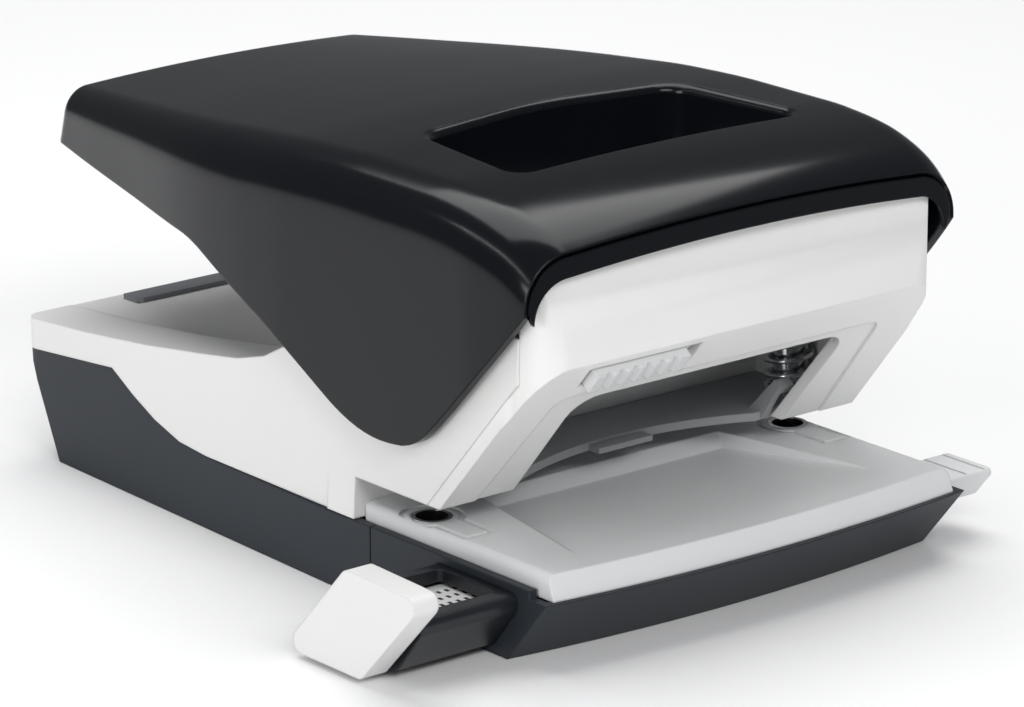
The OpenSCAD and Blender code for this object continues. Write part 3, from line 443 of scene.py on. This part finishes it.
def add_window_rim(bm):
    """The rolled edge of the window, with the short wall that hangs from it."""
    wall = 1.4
    ease = 0.3
    steps = 8
    outline = window_outline(0.0)
    grown = window_outline(ROLL)
    rows = []
    for p, q in zip(outline, grown):
        out = (q - p) / ROLL
        z = surface_height(q.x, q.y)
        row = []
        for k in range(steps + 1):
            a = math.radians(90.0 * k / steps)
            s = p + out * ROLL * (1 - math.sin(a))
            row.append((s.x, s.y, z - ROLL * (1 - math.cos(a))))
        row.append((p.x, p.y, up(RIM_BOTTOM) + ease))
        s = p + out * ease
        row.append((s.x, s.y, up(RIM_BOTTOM)))
        s = p + out * wall
        row.append((s.x, s.y, up(RIM_BOTTOM)))
        row.append((s.x, s.y, z - SHELL - ease))
        rows.append([bm.verts.new(Vector(v) * MM) for v in row])
    for i in range(len(rows)):
        a, b = rows[i], rows[(i + 1) % len(rows)]
        for k in range(len(a) - 1):
            bm.faces.new((a[k], b[k], b[k + 1], a[k + 1]))


def add_lip(bm, columns):
    """The thin lip that hangs a little lower along the front edge."""
    upper = handle_ring(LIP_Y, columns, LIP_INSET)
    lower = handle_ring(LIP_Y, columns, SHELL)
    sink = Vector((0, 0, -LIP_H)) * MM
    back = Vector((0, LIP_T, 0)) * MM
    front = Vector((0, 0.02, 0)) * MM
    first = columns["cheek"]
    rows = []
    for i in range(first, len(upper) - first):
        a, b = upper[i] + front, lower[i] + sink + front
        rows.append([bm.verts.new(v) for v in (a, b, b + back, a + back)])
    for a, b in zip(rows, rows[1:]):
        for k in range(4):
            j = (k + 1) % 4
            bm.faces.new((a[k], b[k], b[j], a[j]))
    bm.faces.new(rows[0])
    bm.faces.new(list(reversed(rows[-1])))


def mark_matt(mesh):
    """Face value that tells the shader where the moulding is left matt: the inside and the lip."""
    front = LIP_Y + LIP_BULGE + 0.4
    well_depth = 5
    well_hw = 30
    values = []
    for face in mesh.polygons:
        c = face.center / MM
        n = face.normal
        crown = up(HANDLE_TOP + wave(c.y, CROWN))
        lip = c.y < front and abs(n.z) < 0.2 and abs(n.x) < 0.7
        inside = n.z < -0.3 or (crown - c.z > well_depth and abs(c.x) < well_hw)
        values.append(1.0 if lip or inside else 0.0)
    layer = mesh.attributes.new("matt", "FLOAT", "FACE")
    layer.data.foreach_set("value", values)


def make_handle():
    """Outer skin lofted along Y, thickened inwards, with the window cut and its rim added."""
    columns = {"cheek": 9, "arc": 12, "top": 16}
    fine_step = 1.2
    coarse_step = 2.0
    fine_until = -16
    window_cut = ROLL - 0.05
    stations = []
    y = LIP_Y
    while y < HANDLE_REAR - BACK_R:
        stations.append(y)
        y += fine_step if y < fine_until else coarse_step
    for a in range(0, 91, 9):
        stations.append(HANDLE_REAR - BACK_R * (1 - math.sin(math.radians(a))))
    bm = bmesh.new()
    rings = [[bm.verts.new(p) for p in handle_ring(s, columns)] for s in stations]
    for a, b in zip(rings, rings[1:]):
        for i in range(len(a) - 1):
            bm.faces.new((a[i], b[i], b[i + 1], a[i + 1]))
    last = rings[-1]
    count = len(last)
    for i in range(count // 2 - 1):
        bm.faces.new((last[i], last[count - 1 - i], last[count - 2 - i], last[i + 1]))
    middle = count // 2
    bm.faces.new((last[middle - 1], last[middle + 1], last[middle]))
    bmesh.ops.recalc_face_normals(bm, faces=bm.faces)
    mesh = bpy.data.meshes.new("handle")
    bm.to_mesh(mesh)
    bm.free()
    obj = new_object("handle_visual", mesh)
    top_face = max(mesh.polygons, key=lambda f: f.center.z)
    if top_face.normal.z < 0:
        mesh.flip_normals()
    thick = obj.modifiers.new("thick", "SOLIDIFY")
    thick.thickness = SHELL * MM
    thick.offset = -1.0
    thick.use_even_offset = False
    cutter = prism("cutter", window_outline(window_cut), up(40), up(80))
    cut = obj.modifiers.new("cut", "BOOLEAN")
    cut.operation = "DIFFERENCE"
    cut.solver = "EXACT"
    cut.object = cutter
    apply_modifiers(obj)
    bpy.data.objects.remove(cutter)
    bm = bmesh.new()
    bm.from_mesh(obj.data)
    add_window_rim(bm)
    add_lip(bm, columns)
    bm.to_mesh(obj.data)
    bm.free()
    smooth(obj.data, 40.0)
    mark_matt(obj.data)
    return finish_piece(obj, ["handle_shell"])


make_handle()


# ---------------------------------------------------------------- springs


def make_spring(name, side):
    """Round-wire coil spring with ground ends, standing on the stripper plate."""
    wire = 0.52
    coil = 3.98
    turns = 5.2
    seat = 5.9
    collar = 19.0
    z0 = up(seat) + wire
    z1 = up(collar) - wire - 0.1
    steps = 220
    around = 14
    # Share of the wire in each closed end, and share of the height that it rises
    end = 0.11
    ground = 0.04
    bm = bmesh.new()
    rows = []
    for i in range(steps + 1):
        t = i / steps
        if t < end:
            rise = ground * (t / end)
        elif t > 1 - end:
            rise = 1 - ground * ((1 - t) / end)
        else:
            rise = ground + (1 - 2 * ground) * (t - end) / (1 - 2 * end)
        a = 2 * math.pi * turns * t
        centre = Vector((
            side * PIN_X + coil * math.cos(a), coil * math.sin(a), z0 + (z1 - z0) * rise
        ))
        out = Vector((math.cos(a), math.sin(a), 0))
        row = []
        for k in range(around):
            b = 2 * math.pi * k / around
            p = centre + (out * math.cos(b) + Vector((0, 0, 1)) * math.sin(b)) * wire
            row.append(bm.verts.new(p * MM))
        rows.append(row)
    for a, b in zip(rows, rows[1:]):
        for k in range(around):
            j = (k + 1) % around
            bm.faces.new((a[k], a[j], b[j], b[k]))
    bm.faces.new(list(reversed(rows[0])))
    bm.faces.new(rows[-1])
    bmesh.ops.recalc_face_normals(bm, faces=bm.faces)
    mesh = bpy.data.meshes.new(name)
    bm.to_mesh(mesh)
    bm.free()
    smooth(mesh, 50.0)
    hand = "left" if side < 0 else "right"
    obj = finish_piece(new_object(name, mesh), ["pin_spring_" + hand])
    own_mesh(obj)
    return obj


make_spring("coil_spring_left", -1)
make_spring("coil_spring_right", 1)

# Nodes shown with their own CAD surface
SKINNED = [
    "body_shell", "front_cover", "table_top", "front_base", "chip_tray", "guide_sleeve",
    "guide_stop", "guide_bar", "lock_slider", "lock_bolt", "stripper_plate", "bumper_pad",
    "die_bush_left", "die_bush_right", "punch_pin_left", "punch_pin_right", "pin_washer_left",
    "pin_washer_right", "punch_frame", "handle_lever", "pivot_axle", "axle_clips", "die_plate",
    "cover_screws", "body_screws", "lever_screws", "frame_rivets", "guide_detent_spring",
    "format_scale",
]
for name in SKINNED:
    skin_of(name)


# ---------------------------------------------------------------- stage


def make_stage():
    """Round pale floor."""
    bm = bmesh.new()
    bmesh.ops.create_circle(bm, cap_ends=True, segments=96, radius=3.0)
    mesh = bpy.data.meshes.new("floor")
    bm.to_mesh(mesh)
    bm.free()
    obj = new_object("studio_floor", mesh)
    obj.location = (0, 0, -0.0001)
    mat, tree, bsdf = principled("pale_paper")
    cloud = node(tree, "ShaderNodeTexNoise", Scale=3.0, Detail=2.0)
    ramp = tree.nodes.new("ShaderNodeMix")
    ramp.data_type = "RGBA"
    ramp.inputs["A"].default_value = (0.86, 0.86, 0.865, 1)
    ramp.inputs["B"].default_value = (0.89, 0.89, 0.89, 1)
    tree.links.new(cloud.outputs["Fac"], ramp.inputs["Factor"])
    tree.links.new(ramp.outputs["Result"], bsdf.inputs["Base Color"])
    bsdf.inputs["Roughness"].default_value = 0.9
    bsdf.inputs["Specular IOR Level"].default_value = 0.1
    mesh.materials.append(mat)


make_stage()


def area_light(name, at, size, power, aim=(0, 0.03, 0.04)):
    """Rectangular lamp at a place, turned towards aim."""
    data = bpy.data.lights.new(name, "AREA")
    data.shape = "RECTANGLE"
    data.size, data.size_y = size
    data.energy = power
    obj = bpy.data.objects.new(name, data)
    obj.location = at
    obj.rotation_euler = (Vector(aim) - Vector(at)).to_track_quat("-Z", "Y").to_euler()
    bpy.context.scene.collection.objects.link(obj)


area_light("top_softbox", (0.15, 0.30, 0.95), (1.1, 0.8), 9.5)
area_light("front_softbox", (-0.30, -0.95, 0.80), (0.9, 0.35), 7.0)
area_light("left_softbox", (-1.0, -0.3, 0.30), (0.4, 0.4), 3.4)
area_light("left_strip", (-0.75, 0.20, 0.62), (1.0, 0.016), 0.9)

world = bpy.data.worlds.new("studio")
world.use_nodes = True
world.node_tree.nodes["Background"].inputs["Color"].default_value = (0.95, 0.97, 1.0, 1)
world.node_tree.nodes["Background"].inputs["Strength"].default_value = 0.16
bpy.context.scene.world = world


def make_camera():
    """Long lens that looks at the front left corner from a little above."""
    data = bpy.data.cameras.new("camera")
    data.lens = 188.3
    data.sensor_width = 36.0
    data.clip_start = 0.05
    obj = bpy.data.objects.new("camera", data)
    back = Vector((-0.6076, -0.7384, 0.2926)).normalized()
    right = Vector((0.7722, -0.6354, 0.0)).normalized()
    top = back.cross(right)
    place = Vector((0, 0, TABLE)) + back * 917.08 - right * 17.54 + top * 19.54
    turn = Matrix((right, top, back)).transposed().to_4x4()
    obj.matrix_world = Matrix.Translation(place * MM) @ turn
    bpy.context.scene.collection.objects.link(obj)
    bpy.context.scene.camera = obj


make_camera()
bpy.context.scene.view_settings.view_transform = "Standard"
bpy.context.scene.view_settings.look = "None"
